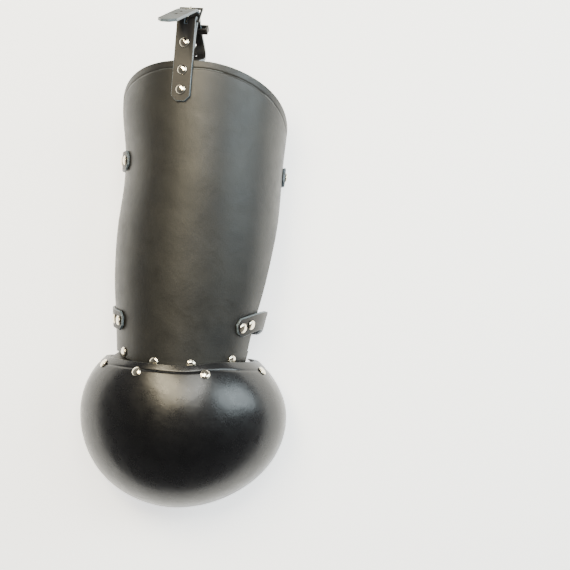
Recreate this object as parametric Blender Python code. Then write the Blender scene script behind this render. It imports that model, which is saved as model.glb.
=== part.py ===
"""Leather cuisse for the right leg: a thigh plate with a domed knee cop and a belt hanger.

It lies on its open back. +Z points to the front of the thigh, +Y to the hip, +X to the inner side
of the leg. The origin is under the middle of the whole. Lengths are in metres.
"""
import math

import bmesh
import bpy
from mathutils import Matrix, Vector

# Leather and the clearances between pieces
PLATE_WALL = 0.003
KNEE_WALL = 0.003
JOINT_WALL = 0.002
STRAP_THICK = 0.0028
STRAP_WIDTH = 0.020
STRAP_CLIP = 0.0055
STRAP_SEAT = 0.0007
CLEAR = 0.0003
FACET_GAP = 0.0009
CUT_BEYOND = 0.003
SMOOTH_ANGLE = 40.0

# Thigh plate, seen from the hip as an arch about an axis line at AXIS_HEIGHT. PLATE_OVERLAP is how
# far its lower edge reaches under the knee cop's rim.
AXIS_HEIGHT = 0.033
HIP_Y = 0.2035
PLATE_LENGTH = 0.314
PLATE_OVERLAP = 0.0050
PLATE_MIDDLE = -0.003
PLATE_HALF_WIDTH = 0.0874
PLATE_HEIGHT = 0.119
OUTER_WRAP = 110.0
OUTER_DROP = 0.043
OUTER_DROP_POWER = 2.6
INNER_DROP = 0.054
INNER_DROP_POWER = 1.75
OUTER_RISE = 0.0072
INNER_RISE = 0.0025
RISE_ANGLE = 57.0
RISE_LIMIT = 1.6
PLATE_GRID = (16, 34)
EDGE_PASSES = 6
SLOPE_STEP = 0.002

# Knee cop, a dome whose widest line lies KNEE_WIDEST below its upper rim. The rim climbs by
# KNEE_RIM_RISE on the inner side, half of it by RISE_MIDDLE from the middle plane.
KNEE_RIM_Y = HIP_Y - PLATE_LENGTH + PLATE_OVERLAP
KNEE_WIDEST = 0.0545
KNEE_HALF_WIDTH = 0.1100
KNEE_HEIGHT = 0.119
KNEE_LOWER = 0.0995
KNEE_UPPER = 0.081
KNEE_SHOULDER = 0.107
KNEE_LEAN = 0.0065
KNEE_SQUARENESS = 2.3
KNEE_RIM_RISE = 0.0082
RISE_MIDDLE = 0.020
RISE_SPAN = 0.020
KNEE_GRID = (15, 36)
HALVINGS = 40

# Rivets
POST_RADIUS = 0.0016
CAP_RADIUS = 0.0049
CAP_HEIGHT = 0.0020
BACK_RADIUS = 0.0031
BACK_HEIGHT = 0.0009
RIVET_SIDES = 10

# Rounding of the cap, from its top to its seat, in shares of CAP_RADIUS and CAP_HEIGHT
CAP_PROFILE = (
    # radius, height
    (0.00, 1.00),
    (0.62, 0.86),
    (1.00, 0.38),
    (0.97, 0.00),
)

# Rows that join plate and knee cop. Rivets are placed by their angle from the front. Those in the
# plate lie PLATE_EDGE above its lower edge, or further up by RIM_STEP at a time where the cop's rim
# would touch their caps. below is a share of KNEE_ROW under the cop's rim.
PLATE_EDGE = 0.0053
RIM_STEP = 0.0005
RIM_SAMPLES = 240
PLATE_RIVET_ANGLES = (-57.0, -21.0, 10.0, 46.5)
KNEE_ROW = 0.0096
KNEE_RIVETS = (
    # angle, below
    (-65.0, 0.70),
    (-27.7, 1.00),
    (17.4, 1.00),
    (70.5, 0.76),
)
STRIP_ABOVE_ROW = 0.0067
STRIP_BELOW_ROW = 0.0072
STRIP_COLUMNS = 26
STRIP_PLATE_ROWS = 2
STRIP_STEP_ROWS = 3
STRIP_KNEE_ROWS = 4
STRIP_ANGLES = (-88.0, 76.0)

# Belt hanger. Its own axes: across the tab to the inner side, along it to the hip, out of the plate.
HANGER_ANGLE = -14.0
HANGER_BELOW = 0.0106
TAB_BELOW = 0.0314
TAB_ROW = 0.0198
FOLD_RIVET = 0.0275
FOLD_BELOW = 0.0095
FOLD_RADIUS = 0.0033
FOLD_GAP = 0.0005
FOLD_STEPS = 6
PINCH_SHARE = 0.39
HEEL_BAR = 0.050
BAR = 0.0022
FRAME_REACH = 0.0165
FRAME_TILT = 33.0
BILLET_BELOW = 0.028
BILLET_SEAT = 0.0012
BILLET_FLAT = 0.010
WAY_STEPS = 3
TONGUE_STEPS = 4
LOOP_DEPTH = 0.0325
LOOP_SHIFT = 0.0030
TONGUE = 0.055
TONGUE_LEAN = (-0.082, -0.362, 0.930)
PAST_PRONG = 0.00977
HOLE_PITCH = 0.0126
HOLE_RADIUS = 0.00175
HOLES_IN_TONGUE = 3
HOLES_IN_LOOP = 4
PRONG_WIDTH = 0.0022
PRONG_THICK = 0.0018
PRONG_RING = 0.0014
PRONG_SIDES = 12
KEEPER_BACK = 0.020
KEEPER_SLACK = 0.005
KEEPER_WIDTH = 0.007
KEEPER_THICK = 0.0018
KEEPER_PLAY = 0.0008

# Way of the billet from the plate to the buckle. along is a share of HEEL_BAR, deep a share of
# LOOP_DEPTH behind the plate, aside a share of LOOP_SHIFT.
BILLET_WAY = (
    # along, deep, aside
    (0.06, 0.17, 0.00),
    (0.18, 0.30, 0.20),
    (0.25, 0.56, 0.60),
    (0.30, 0.81, 1.00),
    (0.40, 0.98, 0.70),
    (0.58, 1.00, 0.00),
    (0.77, 0.85, -0.40),
    (0.95, 0.58, -0.40),
    (1.09, 0.37, -0.20),
    (1.17, 0.21, 0.00),
    (1.205, 0.06, 0.00),
    (1.20, -0.08, 0.00),
)

# Sections of the plate from hip to knee. down is a share of PLATE_LENGTH, shift and half are
# shares of PLATE_HALF_WIDTH, high is a share of PLATE_HEIGHT, inner is the angle of the cut
# inner edge in degrees from the front.
DOWN, SHIFT, HALF, HIGH, INNER = range(5)
PLATE_SECTIONS = (
    # down, shift, half, high, inner
    (0.00, -0.020, 1.014, 1.000, 112.0),
    (0.15, -0.022, 1.010, 0.985, 110.0),
    (0.30, 0.011, 0.962, 0.968, 103.0),
    (0.40, 0.018, 0.957, 0.955, 91.0),
    (0.55, 0.006, 0.977, 0.930, 77.5),
    (0.72, -0.002, 0.948, 0.895, 68.5),
    (0.85, -0.010, 0.880, 0.866, 65.5),
    (1.00, -0.028, 0.800, 0.838, 68.0),
)

# Leg straps. Each starts at its cut end on the plate, at an angle from the front and along the
# plate as a share of PLATE_LENGTH below HIP_Y, and reaches the clasp behind the leg at the share
# clasp. bow is how far it swings towards the hip on its way, as a share of STRAP_BOW.
STRAP_BOW = 0.009
LEG_STRAPS = (
    # level, side, angle, along, clasp, bow
    ("upper", "outer", -64.0, 0.3250, 0.3250, 0.0),
    ("upper", "inner", 90.0, 0.3250, 0.3250, 0.0),
    ("lower", "outer", -56.0, 0.8592, 0.8400, 0.0),
    ("lower", "inner", 43.5, 0.8516, 0.8400, 1.0),
)
STRAP_RIVETS = (0.0065, 0.0190)
CLASP_LENGTH = 0.026
CLASP_WALL = 0.0012
CLASP_RAMP = 0.014
CLASP_LEVEL = 0.0047
END_GAP = 0.0012
STRAP_BEND = 0.005
BEND_STEPS = 4
STRAP_STEP = 5.0


def clear_scene():
    for obj in list(bpy.data.objects):
        bpy.data.objects.remove(obj, do_unlink=True)


def material(name, colour, roughness, metallic=0.0):
    mat = bpy.data.materials.new(name)
    mat.use_nodes = True
    shader = mat.node_tree.nodes["Principled BSDF"]
    shader.inputs["Base Color"].default_value = (*colour, 1.0)
    shader.inputs["Roughness"].default_value = roughness
    shader.inputs["Metallic"].default_value = metallic
    return mat


def add_object(name, bm, mat):
    """Recalculate the faces' sides outward and put the mesh in the scene."""
    bmesh.ops.remove_doubles(bm, verts=bm.verts, dist=1e-7)
    bmesh.ops.dissolve_degenerate(bm, edges=bm.edges, dist=1e-7)
    bmesh.ops.recalc_face_normals(bm, faces=bm.faces)
    mesh = bpy.data.meshes.new(name)
    bm.to_mesh(mesh)
    bm.free()
    mesh.materials.append(mat)
    mesh.shade_smooth()
    mesh.set_sharp_from_angle(angle=math.radians(SMOOTH_ANGLE))
    obj = bpy.data.objects.new(name, mesh)
    bpy.context.scene.collection.objects.link(obj)
    return obj


def sheet(name, outer, inner, mat):
    """One closed body between two grids of points with the same rows and columns."""
    bm = bmesh.new()
    sides = []
    for grid in (outer, inner):
        sides.append([[bm.verts.new(point) for point in row] for row in grid])
    rows = len(outer)
    cols = len(outer[0])
    for grid in sides:
        for i in range(rows - 1):
            for j in range(cols - 1):
                bm.faces.new((grid[i][j], grid[i][j + 1], grid[i + 1][j + 1], grid[i + 1][j]))
    top, low = sides
    border = [(0, j) for j in range(cols)]
    border += [(i, cols - 1) for i in range(1, rows)]
    border += [(rows - 1, j) for j in range(cols - 2, -1, -1)]
    border += [(i, 0) for i in range(rows - 2, 0, -1)]
    for (a, b), (c, d) in zip(border, border[1:] + border[:1]):
        bm.faces.new((top[a][b], top[c][d], low[c][d], low[a][b]))
    return add_object(name, bm, mat)


def frame_matrix(point, normal, along):
    """Axes at a point: Z along the normal, X along the given direction."""
    z = Vector(normal).normalized()
    x = Vector(along)
    x = (x - z * x.dot(z)).normalized()
    y = z.cross(x)
    return Matrix.Translation(Vector(point)) @ Matrix((x, y, z)).transposed().to_4x4()


def turned(name, profile, sides, mat):
    """A body of revolution about Z from (radius, height) pairs that start and end on the axis."""
    bm = bmesh.new()
    rings = []
    for radius, height in profile:
        if radius == 0:
            rings.append([bm.verts.new((0, 0, height))])
        else:
            turns = [2 * math.pi * k / sides for k in range(sides)]
            rings.append([bm.verts.new((radius * math.cos(t), radius * math.sin(t), height)) for t in turns])
    for upper, lower in zip(rings, rings[1:]):
        for k in range(sides):
            n = (k + 1) % sides
            if len(upper) == 1:
                bm.faces.new((upper[0], lower[k], lower[n]))
            elif len(lower) == 1:
                bm.faces.new((upper[k], lower[0], upper[n]))
            else:
                bm.faces.new((upper[k], lower[k], lower[n], upper[n]))
    return add_object(name, bm, mat)


def rivet(name, place, grip, mat):
    """Double-cap rivet: grip is the leather between the caps, from z = 0 down."""
    foot = -grip - 2 * CLEAR
    profile = [(radius * CAP_RADIUS, height * CAP_HEIGHT) for radius, height in CAP_PROFILE]
    profile += [
        (POST_RADIUS, 0),
        (POST_RADIUS, foot),
        (BACK_RADIUS, foot),
        (BACK_RADIUS, foot - BACK_HEIGHT),
        (0, foot - BACK_HEIGHT),
    ]
    obj = turned(name, profile, RIVET_SIDES, mat)
    obj.matrix_world = place @ Matrix.Translation((0, 0, CLEAR))


def rivet_row(name, places, grip, mat, first=1):
    """Numbered rivets at the places, and the hidden bars that cut their holes."""
    for k, place in enumerate(places, first):
        rivet(f"{name}_{k}", place, grip, mat)
    return cutter(f"cut_{name}", places, POST_RADIUS + CLEAR, grip + CUT_BEYOND)


def cutter(name, places, radius, depth):
    """One hidden mesh with a round bar at each place, for cutting holes."""
    bm = bmesh.new()
    for place in places:
        bmesh.ops.create_cone(
            bm,
            cap_ends=True,
            segments=RIVET_SIDES,
            radius1=radius,
            radius2=radius,
            depth=2 * depth,
            matrix=place,
        )
    obj = add_object(name, bm, bpy.data.materials["nickel"])
    obj.hide_render = True
    obj.display_type = "WIRE"
    return obj


def block(name, place, low, high, mat=None):
    """A box between two corners given in the frame of place, hidden as a cutter without material."""
    bm = bmesh.new()
    size = Vector(high) - Vector(low)
    middle = (Vector(high) + Vector(low)) / 2
    shape = place @ Matrix.Translation(middle) @ Matrix.Diagonal((*size, 1))
    bmesh.ops.create_cube(bm, size=1.0, matrix=shape)
    obj = add_object(name, bm, mat or bpy.data.materials["nickel"])
    if mat is None:
        obj.hide_render = True
        obj.display_type = "WIRE"
    return obj


def combine(obj, tool, operation="DIFFERENCE"):
    modifier = obj.modifiers.new(operation.lower(), "BOOLEAN")
    modifier.operation = operation
    modifier.solver = "EXACT"
    modifier.object = tool


def smooth_column(sections, column, share):
    """Smooth value of one column of a section table at a share of the length."""
    downs = [row[DOWN] for row in sections]
    values = [row[column] for row in sections]
    share = min(max(share, downs[0]), downs[-1])
    i = max(k for k in range(len(downs) - 1) if downs[k] <= share)
    slopes = []
    for k in (i, i + 1):
        lo = max(k - 1, 0)
        hi = min(k + 1, len(downs) - 1)
        slopes.append((values[hi] - values[lo]) / (downs[hi] - downs[lo]))
    step = downs[i + 1] - downs[i]
    t = (share - downs[i]) / step
    a = 2 * t**3 - 3 * t**2 + 1
    b = t**3 - 2 * t**2 + t
    c = 3 * t**2 - 2 * t**3
    d = t**3 - t**2
    return a * values[i] + b * step * slopes[0] + c * values[i + 1] + d * step * slopes[1]


# Thigh plate


def plate_point(angle, y, out=0.0):
    """Point of the plate's outer face, out metres off it, at an angle in degrees from the front."""
    share = (HIP_Y - y) / PLATE_LENGTH
    centre = PLATE_MIDDLE + smooth_column(PLATE_SECTIONS, SHIFT, share) * PLATE_HALF_WIDTH
    half = smooth_column(PLATE_SECTIONS, HALF, share) * PLATE_HALF_WIDTH + out
    high = smooth_column(PLATE_SECTIONS, HIGH, share) * PLATE_HEIGHT - AXIS_HEIGHT + out
    turn = math.radians(angle)
    return Vector((centre + half * math.sin(turn), y, AXIS_HEIGHT + high * math.cos(turn)))


def plate_frame(angle, y, out=0.0):
    """Frame on the plate: Z out of the face, X round the leg towards the inner side."""
    round_leg = plate_point(angle + 1, y) - plate_point(angle - 1, y)
    up_leg = plate_point(angle, y + SLOPE_STEP) - plate_point(angle, y - SLOPE_STEP)
    return frame_matrix(plate_point(angle, y, out), round_leg.cross(up_leg), round_leg)


def rim_y(angle):
    """Height of the hip rim at an angle: it falls away from the front to both sides."""
    if angle < 0:
        return HIP_Y - OUTER_DROP * (-angle / 90) ** OUTER_DROP_POWER
    return HIP_Y - INNER_DROP * (angle / 90) ** INNER_DROP_POWER


def rim_climb(x):
    """How far the knee cop's upper rim climbs at x, towards the inner side."""
    return KNEE_RIM_RISE * (1 + math.tanh((x - RISE_MIDDLE) / RISE_SPAN)) / 2


def lower_y(angle):
    """Height of the plate's lower edge at an angle: under the cop's rim, and higher at the sides."""
    rise = OUTER_RISE if angle < 0 else INNER_RISE
    rise *= min((angle / RISE_ANGLE) ** 2, RISE_LIMIT)
    return KNEE_RIM_Y + rim_climb(plate_point(angle, KNEE_RIM_Y).x) - PLATE_OVERLAP + rise


def make_plate(mat):
    rows, cols = PLATE_GRID
    outer = []
    inner = []
    for i in range(rows + 1):
        line_out = []
        line_in = []
        for j in range(cols + 1):
            across = j / cols
            angle = 0.0
            y = HIP_Y
            for _ in range(EDGE_PASSES):
                share = (HIP_Y - y) / PLATE_LENGTH
                edge = smooth_column(PLATE_SECTIONS, INNER, share)
                angle = -OUTER_WRAP + across * (OUTER_WRAP + edge)
                y = rim_y(angle) + (lower_y(angle) - rim_y(angle)) * i / rows
            line_out.append(plate_point(angle, y))
            line_in.append(plate_point(angle, y, -PLATE_WALL))
        outer.append(line_out)
        inner.append(line_in)
    return sheet("thigh_plate", outer, inner, mat)


# Knee cop


def knee_section(y, inset=0.0):
    """Centre, half width and rise above the axis line of the dome's section at y."""
    down = KNEE_RIM_Y - KNEE_WIDEST - y
    if down > 0:
        reach = min(down / (KNEE_LOWER - inset), 1.0)
        wide = math.sqrt(1 - reach**2)
        tall = (1 - reach**KNEE_SQUARENESS) ** (1 / KNEE_SQUARENESS)
        lean = -KNEE_LEAN * (down / KNEE_LOWER) ** 2
    else:
        wide = math.sqrt(max(1 - (down / (KNEE_UPPER - inset)) ** 2, 0.0))
        tall = math.sqrt(max(1 - (down / (KNEE_SHOULDER - inset)) ** 2, 0.0))
        lean = -KNEE_LEAN * (down / KNEE_WIDEST) ** 2
    half = (KNEE_HALF_WIDTH - inset) * wide
    high = (KNEE_HEIGHT - AXIS_HEIGHT - inset) * tall
    return lean, half, high


def climbed(point):
    """A point of the level-rimmed dome moved up with the rim, the less the nearer the widest line."""
    share = min(max(1 - (KNEE_RIM_Y - point.y) / KNEE_WIDEST, 0.0), 1.0)
    return point + Vector((0, rim_climb(point.x) * share, 0))


def knee_point(angle, y, inset=0.0):
    """Dome point at an angle in degrees from the front, y as on a dome with a level rim."""
    centre, half, high = knee_section(y, inset)
    turn = math.radians(angle)
    return climbed(Vector((centre + half * math.sin(turn), y, AXIS_HEIGHT + high * math.cos(turn))))


def knee_frame(angle, y):
    round_leg = knee_point(angle + 1, y) - knee_point(angle - 1, y)
    up_leg = knee_point(angle, y + SLOPE_STEP) - knee_point(angle, y - SLOPE_STEP)
    return frame_matrix(knee_point(angle, y), round_leg.cross(up_leg), round_leg)


def inside_knee(point, inset):
    centre, half, high = knee_section(point.y, inset)
    if half < 1e-6 or high < 1e-6:
        return False
    return ((point.x - centre) / half) ** 2 + ((point.z - AXIS_HEIGHT) / high) ** 2 < 1


def knee_ray(lift, turn, inset):
    """Dome point seen from the middle of the line that rim plane and floor share.

    lift turns the half plane from the upright rim (0) to the floor (1), turn sweeps it from the
    outer side (0) to the inner side (1).
    """
    base = Vector((knee_section(KNEE_RIM_Y, inset)[0], KNEE_RIM_Y, 0.0))
    tilt = lift * math.pi / 2
    sweep = turn * math.pi
    up = Vector((0, -math.sin(tilt), math.cos(tilt)))
    ray = Vector((-math.cos(sweep), 0, 0)) + up * math.sin(sweep)
    near = 0.0
    far = 2 * (KNEE_LOWER + KNEE_WIDEST)
    for _ in range(HALVINGS):
        reach = (near + far) / 2
        if inside_knee(base + ray * reach, inset):
            near = reach
        else:
            far = reach
    return climbed(base + ray * near)


def make_knee(mat):
    rows, cols = KNEE_GRID
    grids = []
    for inset in (0.0, KNEE_WALL):
        grid = []
        for i in range(rows + 1):
            grid.append([knee_ray(i / rows, j / cols, inset) for j in range(cols + 1)])
        grids.append(grid)
    return sheet("knee_cop", grids[0], grids[1], mat)


def cap_top(away):
    """Height of a seated cap's outside at a distance from its middle."""
    share = away / CAP_RADIUS
    for (inner, high), (outer, low) in zip(CAP_PROFILE, CAP_PROFILE[1:]):
        if share <= outer:
            return (high + (low - high) * (share - inner) / (outer - inner)) * CAP_HEIGHT
    return 0.0


def meets_rim(place):
    """Whether the cap of a rivet at a place on the plate would touch the knee cop's upper rim."""
    from_place = place.inverted()
    for k in range(RIM_SAMPLES + 1):
        spot = from_place @ knee_point(180 * k / RIM_SAMPLES - 90, KNEE_RIM_Y, KNEE_WALL)
        away = math.hypot(spot.x, spot.y)
        if away < CAP_RADIUS + CLEAR and spot.z < cap_top(away) + 2 * CLEAR:
            return True
    return False


def plate_rivet_place(angle):
    y = lower_y(angle) + PLATE_EDGE
    while meets_rim(plate_frame(angle, y)):
        y += RIM_STEP
    return plate_frame(angle, y)


def make_joint_strip(mat, reach):
    """Strip that starts reach above the plate's lower edge and steps up to the cop's inside."""
    first, last = STRIP_ANGLES
    foot = KNEE_RIM_Y - KNEE_ROW - STRIP_BELOW_ROW
    grids = []
    for extra in (0.0, JOINT_WALL):
        on_plate = -PLATE_WALL - CLEAR - extra
        on_knee = KNEE_WALL + FACET_GAP + extra
        columns = []
        for j in range(STRIP_COLUMNS + 1):
            angle = first + (last - first) * j / STRIP_COLUMNS
            low = lower_y(angle)
            turn_y = low - CLEAR - extra
            climb = rim_climb(knee_point(angle, KNEE_RIM_Y).x)
            knee_y = min(turn_y - climb, KNEE_RIM_Y - 2 * CLEAR - extra)
            column = []
            for k in range(STRIP_PLATE_ROWS):
                share = k / (STRIP_PLATE_ROWS - 1)
                y = low + reach + (turn_y - low - reach) * share
                column.append(plate_point(angle, y, on_plate))
            step_end = knee_point(angle, knee_y, on_knee)
            for k in range(1, STRIP_STEP_ROWS):
                column.append(column[STRIP_PLATE_ROWS - 1].lerp(step_end, k / STRIP_STEP_ROWS))
            for k in range(STRIP_KNEE_ROWS):
                share = k / (STRIP_KNEE_ROWS - 1)
                column.append(knee_point(angle, knee_y + (foot - knee_y) * share, on_knee))
            columns.append(column)
        grids.append([list(row) for row in zip(*columns)])
    return sheet("knee_strip", grids[0], grids[1], mat)


def make_joint(leather, strap_leather, nickel):
    """Plate, knee cop, the strip behind both and the two rivet rows."""
    plate = make_plate(leather)
    knee = make_knee(leather)
    plate_places = [plate_rivet_place(angle) for angle in PLATE_RIVET_ANGLES]
    row_rises = [place.translation.y - lower_y(a) for place, a in zip(plate_places, PLATE_RIVET_ANGLES)]
    strip = make_joint_strip(strap_leather, max(row_rises) + STRIP_ABOVE_ROW)
    knee_places = [knee_frame(angle, KNEE_RIM_Y - below * KNEE_ROW) for angle, below in KNEE_RIVETS]
    plate_cut = rivet_row("plate_rivet", plate_places, PLATE_WALL + JOINT_WALL + CLEAR, nickel)
    knee_grip = KNEE_WALL + JOINT_WALL + FACET_GAP + 2 * CLEAR
    knee_cut = rivet_row("knee_rivet", knee_places, knee_grip, nickel)
    combine(plate, plate_cut)
    combine(knee, knee_cut)
    combine(strip, plate_cut)
    combine(strip, knee_cut)
    return plate


# Bands of strap leather


def band(name, rows, thick, mat):
    """A strap through rows of (centre, width direction, face normal, half width)."""
    outer = []
    inner = []
    for centre, across, normal, half in rows:
        side = across * half
        lift = normal * (thick / 2)
        outer.append([centre - side + lift, centre + side + lift])
        inner.append([centre - side - lift, centre + side - lift])
    return sheet(name, outer, inner, mat)


def line_lengths(centres):
    lengths = [0.0]
    for before, after in zip(centres, centres[1:]):
        lengths.append(lengths[-1] + (after - before).length)
    return lengths


def line_normals(centres, across):
    """Face normals along a line, square to it and to the given direction across it."""
    normals = []
    for k in range(len(centres)):
        before = centres[max(k - 1, 0)]
        after = centres[min(k + 1, len(centres) - 1)]
        normals.append(across.cross(after - before).normalized())
    return normals


def spot_on_line(centres, normals, distance):
    """Centre, face normal and direction of a strap at a distance along its middle line."""
    lengths = line_lengths(centres)
    i = max(k for k in range(len(lengths) - 1) if lengths[k] <= distance + 1e-9)
    t = (distance - lengths[i]) / (lengths[i + 1] - lengths[i])
    along = (centres[i + 1] - centres[i]).normalized()
    normal = normals[i].lerp(normals[i + 1], t)
    return centres[i].lerp(centres[i + 1], t), (normal - along * normal.dot(along)).normalized(), along


def face_place(centres, normals, distance):
    """Frame on a strap's outer face: Z out of it, X along it."""
    centre, normal, along = spot_on_line(centres, normals, distance)
    return frame_matrix(centre + normal * STRAP_THICK / 2, normal, along)


def strap(name, centres, normals, end_clip, mat):
    """A strap along a middle line. The corners are cut off at its start and, if asked, at its end."""
    lengths = line_lengths(centres)
    cuts = [STRAP_CLIP]
    if end_clip:
        cuts.append(lengths[-1] - STRAP_CLIP)
    stations = [0.0]
    for station in sorted(lengths[1:] + cuts):
        if station in cuts or station - stations[-1] > FACET_GAP:
            stations.append(station)
    spots = [spot_on_line(centres, normals, min(station, lengths[-1])) for station in stations]
    rows = []
    for k, (centre, normal, _) in enumerate(spots):
        before = spots[max(k - 1, 0)][0]
        after = spots[min(k + 1, len(spots) - 1)][0]
        along = (after - before).normalized()
        normal = (normal - along * normal.dot(along)).normalized()
        from_end = stations[k]
        if end_clip:
            from_end = min(from_end, lengths[-1] - stations[k])
        half = STRAP_WIDTH / 2 - max(STRAP_CLIP - from_end, 0.0)
        rows.append((centre, normal.cross(along), normal, half))
    return band(name, rows, STRAP_THICK, mat)


# Leg straps


def leg_strap_line(start_angle, start_y, end_y, bow, end_x):
    """Middle line of one strap from its cut end on the plate, round the side and along the floor."""
    sign = -1 if start_angle < 0 else 1
    lift = STRAP_SEAT + STRAP_THICK / 2
    floor = STRAP_THICK / 2
    down = Vector((0, 0, -1))
    centres = []
    normals = []
    angle = start_angle
    while True:
        turned_share = (abs(angle) - abs(start_angle)) / (OUTER_WRAP - abs(start_angle))
        y = start_y + (end_y - start_y) * turned_share + bow * math.sin(math.pi * turned_share)
        point = plate_point(angle, y, lift)
        if point.z < floor + STRAP_BEND:
            break
        centres.append(point)
        normals.append(plate_frame(angle, y).col[2].to_3d())
        angle += sign * STRAP_STEP
    side = centres[-1]
    aside = normals[-1]
    for k in range(1, BEND_STEPS + 1):
        turn = math.pi / 2 * k / BEND_STEPS
        x = side.x - sign * STRAP_BEND * (1 - math.cos(turn))
        centres.append(Vector((x, side.y, side.z - (side.z - floor) * math.sin(turn))))
        normals.append(aside.lerp(down, k / BEND_STEPS).normalized())
    raised = floor + CLASP_WALL + CLEAR
    ramp = end_x + sign * (CLASP_LENGTH / 2 + CLASP_RAMP)
    held = end_x + sign * (CLASP_LENGTH / 2 + CLASP_LEVEL)
    centres.append((centres[-1] + Vector((ramp, end_y, floor))) / 2)
    centres += [Vector((ramp, end_y, floor)), Vector((held, end_y, raised)), Vector((end_x, end_y, raised))]
    normals += [down] * 4
    return centres, normals


def make_leg_straps(plate, strap_leather, nickel):
    """The four straps with their rivets, and a clasp where the two of a level meet."""
    clasp_heights = {}
    for level, side, angle, along, clasp_along, bow in LEG_STRAPS:
        start_y = HIP_Y - along * PLATE_LENGTH
        end_y = HIP_Y - clasp_along * PLATE_LENGTH
        end_x = math.copysign(END_GAP / 2, angle)
        centres, normals = leg_strap_line(angle, start_y, end_y, bow * STRAP_BOW, end_x)
        body = strap(f"{level}_{side}_strap", centres, normals, False, strap_leather)
        places = [face_place(centres, normals, distance) for distance in STRAP_RIVETS]
        grip = STRAP_THICK + STRAP_SEAT + PLATE_WALL + CLEAR
        cut = rivet_row(f"{level}_{side}_rivet", places, grip, nickel)
        combine(body, cut)
        combine(plate, cut)
        clasp_heights[level] = end_y
    for level, y in clasp_heights.items():
        middle = Vector((0, y, CLASP_WALL + CLEAR + STRAP_THICK / 2))
        open_half = Vector((CLASP_LENGTH, STRAP_WIDTH / 2 + CLEAR, STRAP_THICK / 2 + CLEAR))
        wall = Vector((-CLASP_LENGTH / 2, CLASP_WALL, CLASP_WALL))
        place = Matrix.Translation(middle)
        clasp = block(f"{level}_strap_clasp", place, -open_half - wall, open_half + wall, nickel)
        combine(clasp, block(f"cut_{level}_clasp", place, -open_half, open_half))


# Belt hanger


def smooth_line(points, steps):
    """Points on a smooth curve through the given ones."""
    line = []
    for k in range(len(points) - 1):
        p0 = points[max(k - 1, 0)]
        p1 = points[k]
        p2 = points[k + 1]
        p3 = points[min(k + 2, len(points) - 1)]
        for n in range(steps):
            t = n / steps
            line.append(
                0.5
                * (
                    2 * p1
                    + (p2 - p0) * t
                    + (2 * p0 - 5 * p1 + 4 * p2 - p3) * t**2
                    + (3 * p1 - p0 - 3 * p2 + p3) * t**3
                )
            )
    line.append(points[-1])
    return line


def tab_line():
    """Middle line of the tab: up the front, round the lower bar, back behind itself."""
    front = STRAP_SEAT + STRAP_THICK / 2
    back = front - STRAP_THICK - FOLD_GAP
    line = [Vector((0, -TAB_BELOW, front))]
    for k in range(FOLD_STEPS + 1):
        turn = math.pi * k / FOLD_STEPS
        reach = FOLD_RADIUS * math.sin(turn)
        line.append(Vector((0, HEEL_BAR + reach, front - FOLD_RADIUS * (1 - math.cos(turn)))))
    pinch = FOLD_RIVET + PINCH_SHARE * (HEEL_BAR - FOLD_RIVET)
    line += [Vector((0, pinch, back)), Vector((0, FOLD_RIVET - FOLD_BELOW, back))]
    return line


def heel_place(place):
    """Frame of the buckle at its lower bar: Y points to the upper bar, Z to the front."""
    front = STRAP_SEAT + STRAP_THICK / 2
    centre = Vector((0, HEEL_BAR, front - FOLD_RADIUS))
    return place @ Matrix.Translation(centre) @ Matrix.Rotation(math.radians(-FRAME_TILT), 4, "X")


def billet_line():
    """Middle line of the billet from inside the plate to its tip, and its length up to the prong."""
    root = -PLATE_WALL - BILLET_SEAT - STRAP_THICK / 2
    way = [Vector((0, -BILLET_FLAT, root))]
    for along, deep, aside in BILLET_WAY:
        way.append(Vector((LOOP_SHIFT * aside, HEEL_BAR * along, -LOOP_DEPTH * deep)))
    way[1].z = root
    line = [Vector((0, -BILLET_BELOW, root))] + smooth_line(way, WAY_STEPS)
    at_prong = line_lengths(line)[-1] - PAST_PRONG
    lean = Vector(TONGUE_LEAN).normalized()
    crossing = line[-1]
    for k in range(1, TONGUE_STEPS + 1):
        line.append(crossing + lean * (TONGUE * k / TONGUE_STEPS))
    return line, at_prong


def make_tab(place, strap_leather, nickel):
    """Folded tab with its three rivets. The two lower ones also pass through plate and billet."""
    line = tab_line()
    tab = strap("hanger_tab", line, line_normals(line, Vector((1, 0, 0))), True, strap_leather)
    tab.matrix_world = place
    face = STRAP_SEAT + STRAP_THICK
    root = PLATE_WALL + BILLET_SEAT + STRAP_THICK
    places = [place @ Matrix.Translation((0, y, face)) for y in (-TAB_ROW, 0)]
    root_cut = rivet_row("hanger_rivet", places, face + root + CLEAR, nickel)
    fold = place @ Matrix.Translation((0, FOLD_RIVET, face))
    fold_cut = rivet_row("hanger_rivet", [fold], 2 * STRAP_THICK + FOLD_GAP + CLEAR, nickel, 3)
    combine(tab, root_cut)
    combine(tab, fold_cut)
    side = PRONG_WIDTH / 2 + CLEAR
    reach = prong_eye() + PRONG_RING + CLEAR
    beyond = reach + FOLD_RADIUS + STRAP_THICK
    low = Vector((-side, HEEL_BAR - reach, -beyond))
    high = Vector((side, HEEL_BAR + beyond, beyond))
    combine(tab, block("cut_tab_slot", place, low, high))
    return root_cut


def prong_eye():
    """Radius of the prong's eye, which turns round the square lower bar."""
    return (BAR / math.sqrt(2) + CLEAR) / math.cos(math.pi / PRONG_SIDES)


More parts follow.
